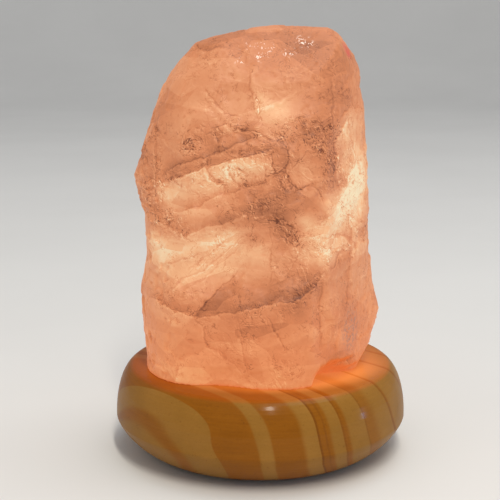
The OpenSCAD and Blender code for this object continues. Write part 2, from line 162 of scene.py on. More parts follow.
def srgb(red, green, blue):
    """A colour as a picture states it, from 0 to 255, in the linear values that shaders take."""
    return tuple(((c / 255 + 0.055) / 1.055) ** 2.4 if c > 10 else c / 255 / 12.92
                 for c in (red, green, blue))


def solid(colour):
    """The colour with an alpha of 1, as a colour socket takes it."""
    return (*colour, 1)


def begin(name, **constants):
    """A new material with these constants on its shader, and the place that its patterns read."""
    material = bpy.data.materials.new(name)
    material.use_nodes = True
    shader = material.node_tree.nodes["Principled BSDF"]
    for key, value in constants.items():
        shader.inputs[key.replace("_", " ")].default_value = value
    place = Wire(material.node_tree).node("TexCoord", "Object")
    return material, shader, place


def join(shader, **wires):
    """Puts each wire on the shader's socket of that name."""
    for key, wire in wires.items():
        wire.tree.links.new(wire.socket, shader.inputs[key.replace("_", " ")])


def finish_with(material, *names):
    """Gives these CAD nodes the material."""
    for name in names:
        if node[name].material_slots:
            for slot in node[name].material_slots:
                slot.material = material
        else:
            node[name].data.materials.append(material)


def foot_rubber():
    material, shader, place = begin("foot_rubber", Specular_IOR_Level=0.3)
    dust = place.grain(1.6, detail=5)
    rubbed = 1 - place.axes()[2].step(0.2 * MM, 1.4 * MM)
    colour = (dust * 0.7 + rubbed * 0.4).ramp((0.2, srgb(38, 30, 25)), (0.8, srgb(74, 63, 54)))
    join(shader, Base_Color=colour, Roughness=0.7 + dust * 0.25,
         Normal=place.grain(0.4).bump(0.08))
    return material


finish_with(foot_rubber(), "foot_front_right", "foot_back_right", "foot_back_left",
            "foot_front_left")


# Fibre cover and its screws
# A thin disc of pressed brown fibre board closes the wiring recess, let in flush with the wood.
# Three countersunk brass screws hold it.

def fibre_board():
    material, shader, place = begin("fibre_board", Specular_IOR_Level=0.25)
    fibres = place.grain(3.0, detail=8, rough=0.7, warp=1.5)
    flecks = place.grain(0.5, detail=2).step(0.6, 0.75)
    colour = (fibres + flecks * 0.15).ramp((0.3, srgb(66, 48, 33)), (0.75, srgb(104, 80, 57)))
    join(shader, Base_Color=colour, Roughness=0.75 + fibres * 0.2, Normal=fibres.bump(0.1))
    return material


def screw_brass():
    material, shader, place = begin("screw_brass", Metallic=1.0)
    tarnish = place.grain(1.2, detail=5)
    colour = tarnish.ramp((0.3, srgb(150, 122, 62)), (0.7, srgb(206, 178, 104)))
    join(shader, Base_Color=colour, Roughness=0.28 + tarnish * 0.25,
         Normal=place.grain(0.25).bump(0.02))
    return material


finish_with(fibre_board(), "bottom_cover")
finish_with(screw_brass(), "cover_screws", "terminal_screws")


# Turned base
# A disc of pine, sawn across a young log and turned with a rounded top edge and a turned-in
# foot, then stained and varnished. The growth rings are cylinders round the log's heart, which
# lies outside the disc to the left and below.

RING_HEART = (-315.7, -32.2)      # heart of the log from the base's axis, and from its underside
RING_FLAT = 0.396                 # the rings are oval: this much narrower from side to side
RING_LEAN = 0.651                 # how fast the log's axis climbs towards the front
LOG_TURN = math.radians(9)        # the log's axis against the view from the front
FIBRE_PULL = 0.04                 # fibres are long: of a step along the log, this share counts
FIRST_RESIN_RING = 130            # from this ring on, resin darkens the start of a band
FOOT_GLOW = (52, 43)              # half the width and depth of the oval that the stone lights

# Dark late wood: where each band starts and ends, how soft both edges are, and how dark it is
LATE_WOOD = [(88, 92, 1.5, 0.4, 0.8), (98.5, 101.5, 1.5, 0.4, 0.7), (108, 110, 0.8, 0.8, 0.7),
             (115.0, 121.0, 0.2, 0.4, 1.0), (123.5, 128.8, 0.4, 0.9, 1.0),
             (131.6, 134.0, 0.2, 0.5, 0.8), (131.6, 132.0, 0.1, 0.2, 0.5),
             (132.9, 133.2, 0.1, 0.1, 0.4), (136.2, 137.4, 0.2, 0.6, 0.9),
             (141.3, 144.2, 0.2, 1.4, 0.55), (148.3, 149.0, 0.3, 0.3, 0.7),
             (156.3, 157.2, 0.3, 0.4, 0.7), (163.1, 164.1, 0.3, 0.4, 0.7),
             (170.5, 171.6, 0.4, 0.4, 0.7), (177.5, 178.8, 0.4, 0.4, 0.7)]


def pine():
    material, shader, place = begin("pine", Coat_Roughness=0.13, Specular_IOR_Level=0.06,
                                    Emission_Strength=1.0)
    x, y, z = place.axes()
    wander = place.grain(30, detail=2) - 0.5
    # The place in the log, in millimetres: across it, along it, and up from the base's underside,
    # and from those the number of the ring that passes there
    side = (x * math.cos(LOG_TURN) + y * math.sin(LOG_TURN)) / MM
    deep = (y * math.cos(LOG_TURN) - x * math.sin(LOG_TURN)) / MM
    up = (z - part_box("wood_base")[0].z) / MM
    across = (side - RING_HEART[0]) * RING_FLAT
    climb = up - RING_HEART[1] + deep * RING_LEAN
    # The log wasn't quite regular, so the rings sway a little on their way down
    sway = ((up.step(6, 20) - up.step(20, 34)) * 0.45 - (1 - up.step(0, 11)) * 1.2
            + wander * 0.8)
    ring = (across ** 2 + climb ** 2) ** 0.5 + sway
    # The inner rings bulge at half the height of the base
    ring = ring + (up.step(8, 18) - up.step(18, 30)) * (1 - ring.step(116, 121)) * 0.9
    late = place.grain(6) * 0.12
    # Fibres run along the log, with dark resin here and there and where a band of late wood starts
    fibre_place = place.node("CombineXYZ", 0, None,
                             {0: side * MM, 1: climb * MM, 2: deep * FIBRE_PULL * MM})
    resin = fibre_place.grain(1.4, detail=3).step(0.66, 0.72) * 0.3
    for start, end, soft_in, soft_out, dark in LATE_WOOD:
        late = late + (ring.step(start - soft_in, start + soft_in)
                       - ring.step(end - soft_out, end + soft_out)) * dark
        if start > FIRST_RESIN_RING:
            resin = resin + (ring.step(start - 0.1, start + 0.1)
                             - ring.step(start + 0.2, start + 0.5)) * 0.24
    # At the left the gap between the two widest bands closes
    late = late + (ring.step(120.6, 121.4) - ring.step(123.1, 123.9)) * (1 - side.step(-52, -40))
    # Pale wood and late wood both vary with the fibres, with marks of turning, and in patches
    streak = fibre_place.grain(0.9, detail=3, rough=0.5)
    turned = place.grain(0.7, detail=3, stretch=(0.04, 0.04, 1))
    pale = (streak * 0.3 + turned * 0.2 + place.grain(22) * 0.7).ramp(
        (0.35, srgb(137, 94, 30)), (0.8, srgb(157, 109, 44)))
    dark_wood = (streak * 0.3 + turned * 0.4 + place.grain(9) * 0.3).ramp(
        (0.3, srgb(130, 74, 0)), (0.75, srgb(150, 90, 10)))
    colour = late.step(0.05, 0.95).mix(pale, dark_wood)
    # Small pits took up more of the stain
    pits = place.grain(1.3, detail=2).step(0.7, 0.76) * 0.3
    colour = (resin + pits).mix(colour, solid(srgb(96, 50, 8)))
    # The lamp's own light is painted on the flat top, as an orange tint in its colour and as
    # emission, most of all beside the stone at the front right, where the stone's foot lets it out
    flat_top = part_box("wood_base")[1].z
    top = z.step(flat_top - 1.3 * MM, flat_top - 0.1 * MM)
    near = 1 - ((x / (FOOT_GLOW[0] * MM)) ** 2
                + (y / (FOOT_GLOW[1] * MM)) ** 2).step(0.85, 1.5)
    lit = top * (0.12 + near * 0.96) * (0.42 + x.step(-45 * MM, 15 * MM) * 0.58)
    lit = lit * (1 - y.step(-27 * MM, 5 * MM) * 0.4)
    colour = (top * 0.6).mix(colour, colour.tint(solid((1.25, 0.75, 0.45))))
    glow = late.mix(solid((0.55, 0.17, 0.05)), solid((0.47, 0.125, 0.02)))
    join(shader, Base_Color=colour, Roughness=0.42 + streak * 0.2,
         Coat_Weight=0.19 + place.grain(12) * 0.06,
         Normal=(streak * 0.4 + late * 0.6).bump(0.04, place.grain(9, detail=1).bump(0.2)),
         Emission_Color=glow.tint(lit.mix(solid((0, 0, 0)), solid((1, 1, 1)))))
    return material


finish_with(pine(), "wood_base")


# Cord inlet
# A black rubber grommet, pressed into the drilled hole in the back of the base so that the wood
# can't chafe the cord.

def black_rubber():
    material, shader, place = begin("black_rubber", Specular_IOR_Level=0.35)
    bloom = place.grain(2.5, detail=4)
    colour = bloom.ramp((0.3, srgb(24, 24, 25)), (0.8, srgb(46, 45, 46)))
    join(shader, Base_Color=colour, Roughness=0.5 + bloom * 0.3, Normal=place.grain(0.3).bump(0.05))
    return material


finish_with(black_rubber(), "cord_bushing")


# Threaded tube, nut and washers
# A brass tube with a rolled thread holds the lampholder to the wood, drawn tight by a nut over
# a zinc-plated steel washer in the recess. A second washer lies under the lampholder.

def tube_brass():
    material, shader, place = begin("tube_brass", Metallic=1.0)
    thread_pitch = 1.0
    turn = place.axes()[2] * (2 * math.pi / (thread_pitch * MM))
    thread = turn.sum("SINE", turn)
    tarnish = place.grain(2.5, detail=5)
    colour = tarnish.ramp((0.25, srgb(150, 120, 58)), (0.75, srgb(214, 184, 108)))
    join(shader, Base_Color=colour, Roughness=0.25 + tarnish * 0.25, Normal=thread.bump(0.12))
    return material


def zinc_steel():
    material, shader, place = begin("zinc_steel", Metallic=1.0)
    spangle = place.grain(1.5, detail=2)
    scratch = place.grain(0.6, detail=3, stretch=(1, 0.1, 1))
    colour = spangle.ramp((0.3, srgb(150, 152, 156)), (0.7, srgb(198, 200, 204)))
    join(shader, Base_Color=colour, Roughness=0.3 + scratch * 0.25, Normal=scratch.bump(0.02))
    return material


finish_with(tube_brass(), "threaded_tube", "tube_nut", "contact_rivet")
finish_with(zinc_steel(), "nut_washer", "seat_washer", "locking_screw")


# Lampholder
# The cap and the outer shell are moulded from cream phenolic, slightly mottled and yellowed.
# Inside are a white ceramic insert, a rolled brass screw socket and bronze contact strips.

def holder_plastic():
    material, shader, place = begin("holder_plastic", Coat_Weight=0.3, Coat_Roughness=0.2)
    mottle = place.grain(7, detail=5, warp=0.6)
    yellowed = place.axes()[2].step(40 * MM, 90 * MM) * 0.35 + mottle * 0.5
    colour = yellowed.ramp((0.15, srgb(232, 224, 208)), (0.8, srgb(222, 203, 168)))
    join(shader, Base_Color=colour, Roughness=0.3 + mottle * 0.2,
         Normal=place.grain(1.2).bump(0.03))
    return material


def white_ceramic():
    material, shader, place = begin("white_ceramic")
    pores = place.grain(0.5, detail=3)
    colour = pores.ramp((0.3, srgb(214, 208, 196)), (0.6, srgb(238, 234, 226)))
    join(shader, Base_Color=colour, Roughness=0.6 + pores * 0.2, Normal=pores.bump(0.05))
    return material


def socket_brass():
    material, shader, place = begin("socket_brass", Metallic=1.0)
    thread_pitch = 2.822
    turn = place.axes()[2] * (2 * math.pi / (thread_pitch * MM))
    thread = turn.sum("SINE", turn)
    stain = place.grain(3, detail=4)
    colour = stain.ramp((0.3, srgb(172, 140, 76)), (0.7, srgb(222, 194, 122)))
    join(shader, Base_Color=colour, Roughness=0.25 + stain * 0.2, Normal=thread.bump(0.35))
    return material


def contact_bronze():
    material, shader, place = begin("contact_bronze", Metallic=1.0)
    heat = place.grain(2, detail=3)
    colour = heat.ramp((0.3, srgb(150, 96, 56)), (0.7, srgb(204, 148, 88)))
    join(shader, Base_Color=colour, Roughness=0.3 + heat * 0.2, Normal=place.grain(0.3).bump(0.02))
    return material


finish_with(holder_plastic(), "holder_cap", "holder_shell")
finish_with(white_ceramic(), "ceramic_insert")
finish_with(socket_brass(), "screw_socket")
finish_with(contact_bronze(), "centre_contact", "side_contact")


# Bulb
# A small screw-in bulb: a nickelled cap with a rolled thread, black glass round the tin end
# contact, a thin clear envelope, a glass stem, and a bowed filament that is lit.

def solder():
    material, shader, place = begin("solder", Metallic=1.0)
    dull = place.grain(0.8, detail=4)
    colour = dull.ramp((0.3, srgb(150, 150, 152)), (0.7, srgb(196, 196, 198)))
    join(shader, Base_Color=colour, Roughness=0.35 + dull * 0.3, Normal=dull.bump(0.08))
    return material


def black_glass():
    material, shader, place = begin("black_glass", Coat_Weight=0.8)
    cloud = place.grain(2, detail=3)
    colour = cloud.ramp((0.3, srgb(18, 17, 24)), (0.8, srgb(40, 38, 50)))
    join(shader, Base_Color=colour, Roughness=0.15 + cloud * 0.15, Normal=cloud.bump(0.04))
    return material


def nickelled_brass():
    material, shader, place = begin("nickelled_brass", Metallic=1.0)
    wear = place.grain(2.2, detail=5).step(0.5, 0.75)
    colour = wear.mix(solid(srgb(190, 184, 168)), solid(srgb(176, 146, 92)))
    join(shader, Base_Color=colour, Roughness=0.22 + wear * 0.2, Normal=place.grain(0.4).bump(0.02))
    return material


def stem_glass():
    material, shader, place = begin("stem_glass", Alpha=0.45, Coat_Weight=0.5,
                                    Emission_Strength=1.0)
    cord = place.grain(3, detail=2, stretch=(1, 1, 0.3))
    colour = cord.ramp((0.3, srgb(238, 220, 190)), (0.7, srgb(250, 240, 220)))
    # The emission is a painted glow of the filament's light in the glass stem
    join(shader, Base_Color=colour, Roughness=0.08 + cord * 0.1,
         Emission_Color=cord.mix(solid((0.12, 0.06, 0.02)), solid((0.22, 0.12, 0.05))))
    return material


def wire_metal():
    material, shader, place = begin("wire_metal", Metallic=1.0)
    film = place.grain(0.6, detail=3)
    colour = film.ramp((0.3, srgb(120, 116, 112)), (0.7, srgb(176, 170, 162)))
    join(shader, Base_Color=colour, Roughness=0.3 + film * 0.25)
    return material


def bulb_glass():
    """A clear envelope that the filament, two thirds of the way up, fills with warm light."""
    material, shader, place = begin("bulb_glass", Coat_Weight=1.0, Coat_Roughness=0.03,
                                    Emission_Strength=1.0)
    low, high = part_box("bulb_glass")
    filament_height = low.z + (high.z - low.z) * 0.68
    heart = 1 - abs(place.axes()[2] - filament_height).step(0.0, 26 * MM)
    edge = place.node("LayerWeight", 1, None, {"Blend": 0.35})
    haze = place.grain(9, detail=2)
    join(shader, Base_Color=haze.ramp((0.3, srgb(255, 236, 205)), (0.7, srgb(255, 246, 228))),
         Roughness=0.05 + haze * 0.06, Alpha=0.10 + edge * 0.4 + heart * 0.16,
         Emission_Color=heart.mix(solid((0.22, 0.11, 0.035)), solid((0.6, 0.36, 0.16))))
    return material


def lit_filament():
    material, shader, place = begin("lit_filament", Roughness=0.5, Emission_Strength=3.0)
    hot = place.grain(1.2, detail=2)
    colour = hot.mix(solid((1.0, 0.62, 0.26)), solid((1.0, 0.86, 0.56)))
    join(shader, Base_Color=colour, Emission_Color=colour)
    return material


finish_with(solder(), "bulb_end_contact")
finish_with(black_glass(), "bulb_insulator")
finish_with(nickelled_brass(), "bulb_screw_cap")
finish_with(stem_glass(), "bulb_stem")
finish_with(wire_metal(), "lead_wires", "filament_supports")
finish_with(bulb_glass(), "bulb_glass")
finish_with(lit_filament(), "filament")


# Block of rose quartz
# One rough block, sawn flat underneath and drilled for the bulb, with its broken faces left as
# they split: ledges that slant up to the right, shell-shaped scoops, and a crumbly core. The
# bulb's light through it is painted into its colour and emission: thin and clear parts glow pale,
# and painted shade keeps the ledges and veils dusky.

BORE_WIDE, BORE_TOP = 44, 140.6   # the drilled hole: its diameter and the height of its end
SKIN_MESH = 0.88                  # size of the faces of the new skin, before it is broken up
MOST_RELIEF = 0.85                # the skin leaves the CAD block by this much at most
FLAT_EDGE = 0.3                   # lower than this over its sawn underside, the skin is laid flat
PLATES, SHARDS = 160, 4500        # how many plates and shards the faces split into
SLANT = math.radians(20)          # the plates slant up to the right by this
PLAIN_GLOW = 0.54                 # how brightly the bulb shines through rock with no veil in it
DEPTH_COUNTS = 0.35               # share of a depth that counts in the distance to a drawn line
SIDE_REACH = 6                    # the way to the nearest ledge is told over this many millimetres

# Ledges: the line of the edge, how far the rock to its right stands out, how far its painted
# shade reaches to the left and to the right of it, as one walks along it, and how dark it is
LEDGES = [([(-46, -28, 92), (-26, -37, 98), (-6, -38, 108)], 0.3, 0.6, 5.0, 0.07),
          ([(-34, -38, 82), (-18, -37, 94), (-4, -38, 106)], 0.3, 0.6, 4.0, 0.07),
          ([(-44, -23, 129), (-40, -26, 133), (-32, -33, 137), (-22, -36, 141), (-11, -36, 145),
            (0, -37, 149)], 0.5, 1.6, 0.8, 0.14),
          ([(-42, -26, 128), (-23, -36, 136), (-11, -38, 140), (4, -39, 143)], 0.9, 5.5, 0.7, 0.21),
          ([(-51, -18, 114), (-41, -29, 110), (-32, -36, 107), (-23, -37, 110), (-15, -38, 113),
            (-5, -41, 118)], 0.8, 7.5, 0.8, 0.10),
          ([(-38, -32, 116), (-22, -37, 122), (-8, -39, 127), (5, -40, 131)], 0.6, 1.6, 0.8, 0.12),
          ([(-50, -25, 77), (-44, -33, 77), (-30, -41, 73), (-24, -41, 72), (-9, -44, 75),
            (4, -44, 78), (16, -44, 81), (23, -39, 85), (28, -36, 94)], 0.9, 6.0, 0.9, 0.13),
          ([(-30, -41, 73), (-22, -40, 80), (-14, -38, 87), (-9, -37, 93)], -0.5, 0.5, 3.5, 0.14),
          ([(4, -38, 146), (8, -37, 147), (11, -38, 143), (11, -38, 134), (15, -38, 127),
            (26, -36, 129)], -0.6, 0.8, 2.0, 0.15),
          ([(-14, -33, 154), (-8, -34, 152), (0, -36, 151)], 0.6, 1.0, 0.8, 0.20),
          ([(28, -35, 101), (32, -28, 105), (37, -21, 103), (41, -17, 98), (37, -22, 97),
            (28, -35, 98)], 0.5, 0.6, 0.6, 0.10),
          ([(-29, -9, 183), (-22, -14, 184), (-11, -15, 186)], 0.6, 2.0, 1.6, 0.12),
          ([(26, -37, 88), (25, -39, 70), (26, -39, 57)], -0.6, 1.0, 1.0, 0.10),
          ([(-5, -22, 179), (-5, -28, 170), (-4, -31, 161), (0, -35, 153)], -0.6, 0.4, 2.5, 0.10),
          ([(-44, -25, 115), (-45, -23, 124), (-45, -21, 137), (-46, -18, 150), (-45, -8, 160)],
           -0.4, 5.0, 0.4, 0.06),
          ([(31, -31, 127), (31, -29, 143), (30, -28, 159), (30, -22, 175)], -0.3, 3.5, 0.4, 0.09),
          ([(34, -27, 124), (32, -29, 131), (32, -28, 144), (35, -23, 152), (40, -15, 160)],
           0.5, 0.4, 6.0, -0.09),
          ([(35, -25, 123), (39, -18, 132), (46, -8, 137)], 0.3, 0.3, 4.0, -0.17),
          ([(4, -36, 110), (4, -38, 94), (3, -39, 84)], -0.5, 6.0, 0.4, 0.10),
          ([(19, -38, 105), (12, -40, 90), (2, -42, 84)], 0.4, 0.5, 2.0, 0.08),
          ([(36, -23, 118), (40, -18, 103), (39, -23, 88), (37, -28, 68)], -0.4, 0.6, 1.4, 0.08),
          ([(-23, -36, 137), (-22, -36, 131), (-16, -36, 128), (-15, -37, 124)],
           0.4, 0.6, 0.6, 0.16),
          ([(-14, -37, 137), (-13, -37, 131), (-8, -38, 127)], 0.4, 0.5, 0.5, 0.16),
          ([(-10, -38, 135), (-5, -38, 132)], 0.4, 0.6, 0.6, 0.18),
          ([(-10, -44, 74), (-8, -44, 60), (-6, -44, 46)], 0.3, 0.6, 0.6, 0.07),
          ([(-24, -41, 71), (-23, -41, 59), (-17, -41, 55), (-6, -44, 45)], 0.3, 0.6, 0.6, 0.07),
          # Round the back
          ([(30, 36, 120), (-10, 38, 128), (-46, 30, 150)], 1.0, 6, 0.9, 0.2),
          ([(34, 36, 70), (-20, 38, 84), (-50, 18, 96)], 1.1, 6, 0.9, 0.2),
          ([(-44, 30, 118), (-52, 14, 128), (-54, -6, 140)], 0.9, 4, 0.9, 0.16)]

# Cracks that run in from the ledges: the line each follows, and how dark it is
CRACKS = [([(-22, -33, 152), (-20, -34, 148), (-18, -35, 144)], 0.7),
          ([(-22, -33, 152), (-18, -32, 153), (-13, -32, 155)], 0.7),
          ([(-23, -36, 140), (-23, -36, 135), (-20, -36, 131), (-16, -36, 128), (-16, -36, 124)],
           0.9),
          ([(-14, -37, 138), (-14, -36, 131), (-9, -37, 128)], 0.8),
          ([(-11, -38, 136), (-5, -38, 133)], 0.8),
          ([(-24, -26, 168), (-21, -28, 164), (-17, -29, 160), (-15, -30, 158), (-8, -32, 157)],
           0.6),
          ([(-40, -27, 132), (-36, -30, 128), (-33, -32, 127)], 0.6),
          ([(-13, -34, 152), (-5, -36, 151), (0, -36, 152)], 1.0),
          ([(-5, -28, 168), (-1, -31, 163), (-1, -33, 157), (2, -35, 154)], 0.9),
          ([(12, -38, 143), (11, -38, 137), (6, -39, 133), (2, -39, 134)], 0.9),
          ([(3, -39, 143), (4, -40, 137), (8, -39, 132)], 0.8),
          ([(22, -37, 127), (25, -36, 124), (26, -36, 120)], 0.8),
          ([(13, -37, 135), (16, -37, 139), (19, -37, 142)], 0.7),
          ([(27, -36, 106), (32, -28, 106), (38, -20, 103), (42, -17, 99), (41, -19, 93)], 0.7),
          ([(27, -36, 101), (32, -28, 99), (39, -20, 99)], 0.6),
          ([(-40, -35, 82), (-31, -36, 89), (-19, -35, 96), (-5, -38, 108)], 0.4),
          ([(-31, -35, 91), (-15, -35, 104), (-7, -38, 109)], 0.3),
          ([(-29, -41, 72), (-24, -41, 65), (-22, -41, 58), (-18, -41, 56)], 0.6),
          ([(2, -45, 74), (8, -45, 64), (11, -46, 59)], 0.5),
          ([(37, -20, 158), (40, -16, 144), (45, -10, 127)], 0.5),
          ([(30, -35, 91), (33, -30, 94), (35, -24, 98)], 0.7),
          ([(-44, -24, 126), (-42, -25, 122), (-43, -25, 117)], 0.6),
          ([(-45, -17, 156), (-46, -20, 142), (-45, -22, 128)], 0.5),
          # Round the back
          ([(-30, 34, 118), (-20, 38, 108), (-6, 40, 104), (4, 40, 92)], 0.7),
          ([(24, 38, 120), (18, 40, 104), (26, 40, 88)], 0.7),
          ([(-50, 16, 120), (-50, 10, 104), (-52, 0, 92)], 0.6)]

# Pale streaks and dusky veils in the painted light through the rock: the line each follows,
# half its width, how much painted light it adds, and how crumbly the rock is there
VEILS = [([(-40, -26, 123), (-26, -34, 130), (-8, -38, 134), (0, -39, 135)], 5.5, 0.23, 0),
         ([(-40, -27, 121), (-20, -35, 125), (-12, -36, 128)], 4, 0.09, 0),
         ([(-14, -37, 137), (-2, -39, 139)], 4.5, 0.14, 0.2),
         ([(-47, -24, 103), (-30, -35, 101), (-14, -36, 107)], 4.5, 0.22, 0),
         ([(-42, -34, 92), (-24, -36, 90), (-5, -37, 96)], 9, 0.16, 0),
         ([(-44, -34, 84), (-34, -38, 82)], 6, 0.06, 0),
         ([(25, -37, 104), (33, -30, 110), (34, -30, 117)], 7, 0.22, 0.05),
         ([(19, -38, 113), (24, -37, 110)], 4, 0.24, 0.1),
         ([(28, -33, 121), (29, -33, 113)], 4, 0.12, 0),
         ([(28, -35, 98), (36, -28, 97)], 6, 0.10, 0),
         ([(41, -14, 151), (41, -16, 138)], 6, 0.09, 0),
         ([(35, -22, 149), (36, -22, 136)], 3.5, 0.13, 0),
         ([(28, -34, 119), (36, -26, 116)], 5, 0.07, 0),
         ([(42, -15, 123), (41, -17, 116)], 6, 0.16, 0.1),
         ([(-22, -36, 124), (-10, -38, 119)], 5, 0.14, 0),
         ([(15, -37, 134), (21, -36, 131)], 4.5, 0.17, 0),
         ([(0, -36, 151), (9, -36, 149)], 4.5, 0.13, 0),
         ([(-4, -38, 144), (-1, -38, 145)], 3, 0.15, 0),
         ([(1, -37, 103), (3, -39, 92)], 6, 0.08, 0),
         ([(-6, -38, 109), (-18, -36, 98)], 2.5, 0.10, 0),
         ([(16, -38, 113), (18, -38, 110)], 3.5, 0.17, 0.1),
         ([(20, -38, 101), (26, -36, 104)], 4.5, -0.09, 0),
         ([(-36, -34, 101), (-42, -32, 98)], 5.5, 0.11, 0),
         ([(-35, -32, 141), (-28, -33, 144)], 5, 0.09, 0),
         ([(25, -39, 70), (25, -39, 58)], 6, 0.07, 0),
         ([(-16, -26, 174), (-15, -27, 170)], 7, -0.07, 0),
         ([(-24, -40, 52), (6, -44, 50)], 8, -0.03, 0),
         ([(-20, -35, 102), (-11, -36, 104)], 6, 0.18, 0),
         ([(-47, -25, 99), (-44, -30, 96)], 5, 0.12, 0),
         ([(-3, -37, 98), (4, -37, 95)], 6, 0.11, 0),
         ([(17, -37, 97), (28, -34, 96)], 4.5, 0.15, 0.1),
         ([(-47, -26, 52), (-30, -40, 46), (8, -45, 43), (22, -43, 45)], 6, 0.07, 0),
         ([(-46, -28, 46), (-40, -34, 44)], 6, 0.12, 0),
         ([(-30, -10, 184), (-12, -15, 186)], 6, -0.02, 0.1),
         ([(30, -25, 156), (31, -26, 150)], 4, 0.03, 0.3),
         ([(43, -11, 140), (44, -12, 112)], 4, 0.10, 0),
         ([(41, -16, 129), (39, -19, 121)], 4.5, 0.18, 0.1),
         ([(1, -33, 162), (8, -35, 159)], 6.5, 0.30, 0.05),
         ([(8, -29, 168), (15, -28, 166)], 6, 0.07, 0),
         ([(-9, -31, 168), (-13, -33, 157)], 8, 0.14, 0),
         ([(-4, -18, 184), (12, -19, 183)], 8, -0.09, 0.05),
         ([(-18, -6, 189), (6, -8, 191), (30, -8, 189)], 4, -0.09, 0.05),
         ([(-26, -20, 172), (-36, -14, 164)], 7, -0.06, 0.05),
         ([(-28, -30, 155), (-22, -32, 156)], 6, 0.07, 0),
         ([(-22, -37, 114), (-16, -37, 121)], 5, 0.05, 0),
         ([(-9, -36, 108), (-4, -37, 107)], 5, 0.05, 0),
         ([(-44, -28, 113), (-22, -38, 117)], 3.5, 0.10, 0),
         ([(-38, -23, 149), (-34, -26, 154)], 8, 0.09, 0),
         ([(-13, -36, 94), (-18, -38, 90)], 7, 0.09, 0),
         ([(-10, -38, 126), (-2, -39, 128)], 3, -0.08, 0.1),
         ([(14, -42, 79), (20, -40, 84)], 4, -0.12, 0.1),
         ([(-31, -36, 106), (-30, -37, 98)], 6, 0.03, 0),
         ([(-4, -22, 178), (8, -24, 177)], 6, -0.06, 0),
         ([(28, -38, 64), (30, -36, 78)], 5, 0.10, 0),
         ([(0, -39, 141), (5, -39, 135), (9, -39, 129)], 4.5, -0.09, 0.5),
         ([(-3, -40, 117), (6, -40, 115), (13, -38, 106)], 4.5, -0.15, 1.0),
         ([(-15, -39, 117), (-3, -40, 121), (8, -39, 124)], 5, -0.05, 0.2),
         ([(-4, -38, 107), (-3, -38, 106)], 2, -0.16, 0.7),
         ([(22, -41, 90), (20, -41, 85), (13, -43, 80)], 5, -0.08, 0.3),
         ([(-8, -44, 70), (16, -45, 74)], 6.5, -0.09, 0.1),
         ([(24, -35, 148), (29, -32, 138)], 6, -0.10, 0.8),
         ([(8, -34, 152), (22, -33, 153)], 5, -0.09, 0.5),
         ([(-36, -30, 144), (-20, -33, 149), (-8, -34, 151)], 4, -0.05, 0.5),
         ([(-47, -17, 150), (-49, -17, 136), (-48, -20, 118)], 5, -0.07, 0.5),
         ([(36, -28, 60), (38, -25, 50)], 6, 0.07, 0.1),
         ([(38, -21, 130), (40, -19, 124)], 4, 0.06, 0),
         ([(-46, -24, 112), (-34, -33, 111)], 3.5, -0.07, 0.5),
         ([(23, -21, 182), (34, -18, 178), (35, -19, 168)], 8, -0.12, 0.05),
         ([(30, -34, 92), (40, -22, 95)], 2.2, -0.12, 0.1),
         ([(5, -38, 147), (12, -38, 144)], 2.6, -0.04, 0.4),
         # Round the back
         ([(44, 6, 130), (44, 12, 90)], 16, 0.16, 0.1),
         ([(-30, 38, 112), (-6, 40, 106)], 9, 0.24, 0),
         ([(18, 40, 104), (26, 38, 84)], 8, 0.22, 0.1),
         ([(28, 34, 136), (8, 38, 142)], 8, 0.18, 0),
         ([(-48, 14, 104), (-50, 6, 88)], 9, 0.16, 0),
         ([(0, 40, 118), (16, 38, 116)], 5, -0.16, 0.9),
         ([(-36, 28, 138), (-22, 32, 146)], 5, -0.13, 0.8),
         ([(-52, 2, 122), (-50, 16, 118)], 5, -0.14, 0.7),
         ([(46, -2, 104), (46, 10, 110)], 5, -0.14, 0.6),
         ([(-20, 38, 78), (10, 40, 66)], 9, -0.10, 0.4)]

# Spots along the top where painted highlights make the broken rock look sugary and glittering
GLINTS = [(-7, -16, 185), (0, -16, 186), (3, -17, 185), (0, -20, 181), (-8, -21, 179),
          (18, -14, 188), (20, -15, 186), (12, -18, 183)]
GLINT_SIZE = (4, 6, 3)

# A grey stained spot and a painted red glint: the middle of each, and half its size along each axis
GREY_PATCH = ((40, -25, 62), (9, 12, 14))
RED_GLINT = ((38, -6, 184), (4, 7, 6))


def only(piece):
    """Selects this object alone and makes it the active one."""
    bpy.ops.object.select_all(action="DESELECT")
    piece.select_set(True)
    bpy.context.view_layer.objects.active = piece


def apply_all(piece):
    """Applies the piece's modifiers in turn."""
    only(piece)
    for modifier in list(piece.modifiers):
        bpy.ops.object.modifier_apply(modifier=modifier.name)


def combine(block, tool, how):
    """Adds the tool's shape to the block, or takes it out."""
    cut = block.modifiers.new("cut", "BOOLEAN")
    cut.operation, cut.solver, cut.object = how, "EXACT", tool
    apply_all(block)
    bpy.data.objects.remove(tool)


def bore_plug(wide, low, high):
    """A round plug along the drilled hole."""
    bpy.ops.object.select_all(action="DESELECT")
    bpy.ops.mesh.primitive_cylinder_add(vertices=96, radius=wide / 2 * MM, depth=(high - low) * MM,
                                        location=(0, 0, (low + high) / 2 * MM))
    bpy.ops.object.transform_apply(location=True)
    return bpy.context.object


def rough_block(floor):
    """A copy of the CAD block, its loose triangles joined and its bore filled for now."""
    block = bpy.data.objects.new("quartz_block", node["rose_quartz_stone"].data.copy())
    bpy.context.scene.collection.objects.link(block)
    only(block)
    bpy.ops.object.mode_set(mode="EDIT")
    bpy.ops.mesh.select_all(action="SELECT")
    bpy.ops.mesh.remove_doubles(threshold=0.002 * MM)
    bpy.ops.object.mode_set(mode="OBJECT")
    combine(block, bore_plug(BORE_WIDE + 2, floor + 0.01, BORE_TOP + 1), "UNION")
    return block


def points_of(piece, what):
    """This value of the piece's points, such as "co" or "normal", in one row for each."""
    values = np.empty(len(piece.data.vertices) * 3, np.float32)
    piece.data.vertices.foreach_get(what, values)
    return values.reshape(-1, 3).astype(float)


def soft(values, low, high):
    """0 below low, 1 above high, and smooth between."""
    t = np.clip((values - low) / (high - low), 0, 1)
    return t * t * (3 - 2 * t)


